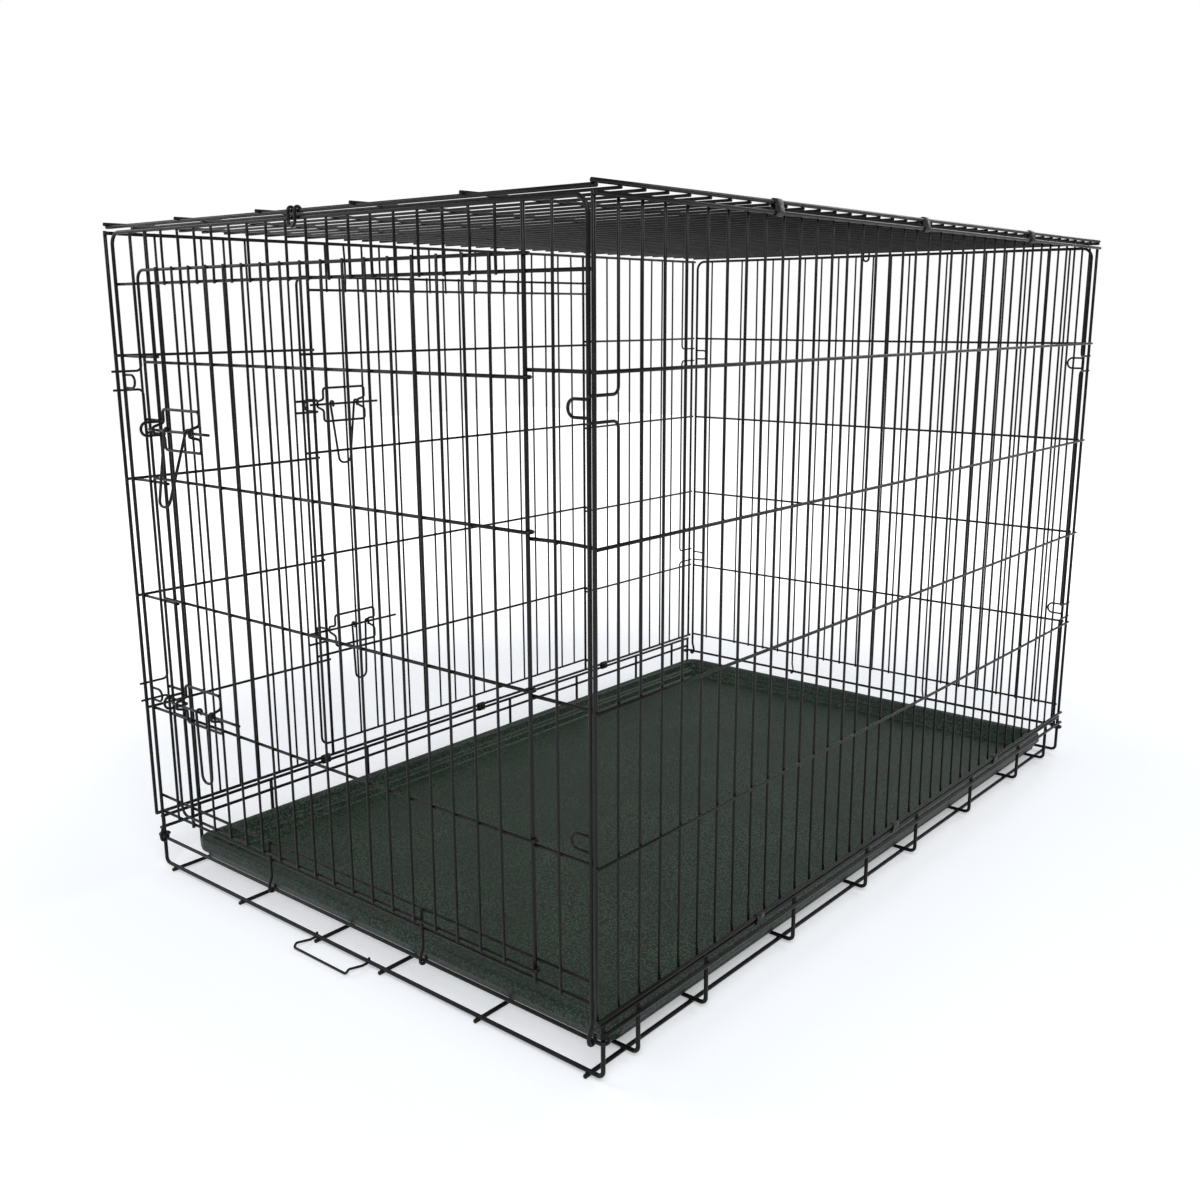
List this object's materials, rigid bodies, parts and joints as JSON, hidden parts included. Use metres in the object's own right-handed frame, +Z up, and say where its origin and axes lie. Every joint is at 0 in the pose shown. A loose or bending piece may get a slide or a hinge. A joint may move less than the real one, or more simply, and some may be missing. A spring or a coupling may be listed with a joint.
{
  "type": "folding wire dog crate",
  "caption": "Folding wire dog crate with a front door, a side door, sliding bolt latches, a lift-up top and a pull-out plastic tray.",
  "frame": {"origin": "centre of the crate's plan, on the floor", "axes": "+Z up; the short door end faces -Y, the long door side faces -X, +Y runs back along the length"},
  "size_m": [0.813, 1.2724, 0.8425],
  "materials": {
    "black_coat": "satin black coat on steel wire",
    "latch_coat": "satin black coat, slightly worn",
    "clip_steel": "dark bent sheet steel",
    "tray_plastic": "matte black pebbled plastic"
  },
  "bodies": {
    "base": {"floor_hoop_01": "black_coat", "floor_hoop_02": "black_coat", "floor_hoop_03": "black_coat", "floor_hoop_04": "black_coat", "floor_hoop_05": "black_coat", "floor_hoop_06": "black_coat", "floor_hoop_07": "black_coat", "floor_hoop_08": "black_coat", "floor_hoop_09": "black_coat", "floor_hoop_10": "black_coat", "floor_runner_1": "black_coat", "floor_runner_2": "black_coat", "floor_runner_3": "black_coat", "floor_runner_4": "black_coat", "floor_runner_5": "black_coat", "floor_runner_6": "black_coat", "left_upper_rail": "black_coat", "right_upper_rail": "black_coat", "left_lower_rail": "black_coat", "right_lower_rail": "black_coat", "front_hinge_rod": "black_coat", "rear_hinge_rod": "black_coat"},
    "tray": {"tray": "tray_plastic"},
    "stop": {"tray_stop": "latch_coat"},
    "front": {"front_panel": "black_coat", "front_lower_keeper": "latch_coat", "front_upper_keeper": "latch_coat"},
    "front_door": {"front_door": "black_coat", "front_lower_guide": "latch_coat", "front_upper_guide": "latch_coat"},
    "rear": {"rear_panel": "black_coat"},
    "left": {"left_panel": "black_coat", "left_clip_1": "clip_steel", "left_clip_2": "clip_steel", "left_clip_3": "clip_steel", "side_lower_keeper": "latch_coat", "side_upper_keeper": "latch_coat"},
    "side_door": {"side_door": "black_coat", "side_lower_guide": "latch_coat", "side_upper_guide": "latch_coat"},
    "right": {"right_panel": "black_coat", "right_clip_1": "clip_steel", "right_clip_2": "clip_steel", "right_clip_3": "clip_steel"},
    "top": {"top_panel": "black_coat", "front_catch": "latch_coat", "rear_catch": "latch_coat", "top_clip_1": "clip_steel", "top_clip_2": "clip_steel", "top_clip_3": "clip_steel"},
    "front_lower_bolt": {"front_lower_bolt": "latch_coat"},
    "front_lower_handle": {"front_lower_handle": "latch_coat"},
    "front_upper_bolt": {"front_upper_bolt": "latch_coat"},
    "front_upper_handle": {"front_upper_handle": "latch_coat"},
    "side_lower_bolt": {"side_lower_bolt": "latch_coat"},
    "side_lower_handle": {"side_lower_handle": "latch_coat"},
    "side_upper_bolt": {"side_upper_bolt": "latch_coat"},
    "side_upper_handle": {"side_upper_handle": "latch_coat"}
  },
  "joints": [
    {"name": "tray_slide", "type": "slide", "parent": "base", "child": "tray", "axis": [0, -1, 0], "range_m": [0, 1.1]},
    {"name": "stop_flip", "type": "hinge", "parent": "base", "child": "stop", "pos_m": [-0.017, -0.60182, 0.00744], "axis": [1, 0, 0], "range_deg": [-90, 0]},
    {"name": "front_fold", "type": "hinge", "parent": "base", "child": "front", "pos_m": [0, -0.6075, 0.048], "axis": [-1, 0, 0], "range_deg": [0, 90]},
    {"name": "rear_fold", "type": "hinge", "parent": "base", "child": "rear", "pos_m": [0, 0.6075, 0.048], "axis": [-1, 0, 0], "range_deg": [-90, 0]},
    {"name": "left_fold", "type": "hinge", "parent": "base", "child": "left", "pos_m": [-0.385, 0, 0.074], "axis": [0, -1, 0], "range_deg": [0, 90]},
    {"name": "right_fold", "type": "hinge", "parent": "base", "child": "right", "pos_m": [0.385, 0, 0.065], "axis": [0, 1, 0], "range_deg": [0, 90]},
    {"name": "top_lid", "type": "hinge", "parent": "right", "child": "top", "pos_m": [0.38656, 0, 0.828], "axis": [0, 1, 0], "range_deg": [0, 180]},
    {"name": "front_door_swing", "type": "hinge", "parent": "front", "child": "front_door", "pos_m": [0.302, -0.6075, 0.44], "axis": [0, 0, 1], "range_deg": [0, 150]},
    {"name": "side_door_swing", "type": "hinge", "parent": "left", "child": "side_door", "pos_m": [-0.3885, 0.27981, 0.44], "axis": [0, 0, -1], "range_deg": [0, 150]},
    {"name": "front_lower_bolt_slide", "type": "slide", "parent": "front_door", "child": "front_lower_bolt", "axis": [-1, 0, 0], "range_m": [0, 0.018]},
    {"name": "side_lower_bolt_slide", "type": "slide", "parent": "side_door", "child": "side_lower_bolt", "axis": [0, -1, 0], "range_m": [0, 0.018]},
    {"name": "front_lower_handle_swing", "type": "hinge", "parent": "front_lower_bolt", "child": "front_lower_handle", "pos_m": [-0.234, -0.6282, 0.258], "axis": [-1, 0, 0], "range_deg": [0, 150]},
    {"name": "side_lower_handle_swing", "type": "hinge", "parent": "side_lower_bolt", "child": "side_lower_handle", "pos_m": [-0.4092, -0.24473, 0.266], "axis": [0, 1, 0], "range_deg": [0, 150]},
    {"name": "front_upper_bolt_slide", "type": "slide", "parent": "front_door", "child": "front_upper_bolt", "axis": [-1, 0, 0], "range_m": [0, 0.018]},
    {"name": "side_upper_bolt_slide", "type": "slide", "parent": "side_door", "child": "side_upper_bolt", "axis": [0, -1, 0], "range_m": [0, 0.018]},
    {"name": "front_upper_handle_swing", "type": "hinge", "parent": "front_upper_bolt", "child": "front_upper_handle", "pos_m": [-0.254, -0.6282, 0.599], "axis": [-1, 0, 0], "range_deg": [0, 150]},
    {"name": "side_upper_handle_swing", "type": "hinge", "parent": "side_upper_bolt", "child": "side_upper_handle", "pos_m": [-0.4092, -0.26473, 0.604], "axis": [0, 1, 0], "range_deg": [0, 150]}
  ]
}
